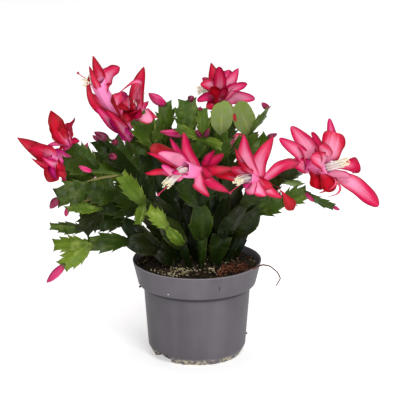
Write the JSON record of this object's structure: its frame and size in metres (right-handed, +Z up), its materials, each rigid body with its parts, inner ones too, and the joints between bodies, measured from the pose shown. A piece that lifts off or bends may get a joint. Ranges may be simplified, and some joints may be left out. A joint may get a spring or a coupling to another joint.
{
  "type": "potted christmas cactus",
  "caption": "Christmas cactus in a grey nursery pot: arching stems of flat toothed pads, with red and pink blooms of layered petals at their tips.",
  "frame": {"origin": "centre of the pot's flat base", "axes": "+Z up along the pot's axis; the side that the picture shows faces -Y, with +X to its right"},
  "size_m": [0.3243, 0.2775, 0.2791],
  "materials": {
    "pot": "satin grey moulded plastic",
    "soil": "dark, loose peat mix",
    "pads": "waxy green plant skin",
    "petals": "satin red petal with a pink-white middle",
    "stamens": "cream threads"
  },
  "bodies": {
    "root": {"pot": "pot", "potting_soil": "soil", "leafy_stem_01": "pads", "leafy_stem_02": "pads", "leafy_stem_03": "pads", "leafy_stem_04": "pads", "leafy_stem_05": "pads", "leafy_stem_06": "pads", "leafy_stem_07": "pads", "leafy_stem_08": "pads", "leafy_stem_09": "pads", "leafy_stem_10": "pads", "leafy_stem_11": "pads", "leafy_stem_12": "pads", "leafy_stem_13": "pads", "leafy_stem_14": "pads", "leafy_stem_15": "pads", "leafy_stem_16": "pads", "bloom_03_stamens": "stamens", "bloom_04_stamens": "stamens", "bloom_05_stamens": "stamens", "bloom_06_stamens": "stamens", "bloom_07_stamens": "stamens", "bloom_08_stamens": "stamens", "bloom_09_stamens": "stamens", "bloom_10_stamens": "stamens", "bloom_11_stamens": "stamens", "bloom_01_petals": "petals", "bloom_02_petals": "petals", "bloom_03_petals": "petals", "bloom_04_petals": "petals", "bloom_05_petals": "petals", "bloom_06_petals": "petals", "bloom_07_petals": "petals", "bloom_08_petals": "petals", "bloom_09_petals": "petals", "bloom_10_petals": "petals", "bloom_11_petals": "petals"}
  },
  "joints": []
}
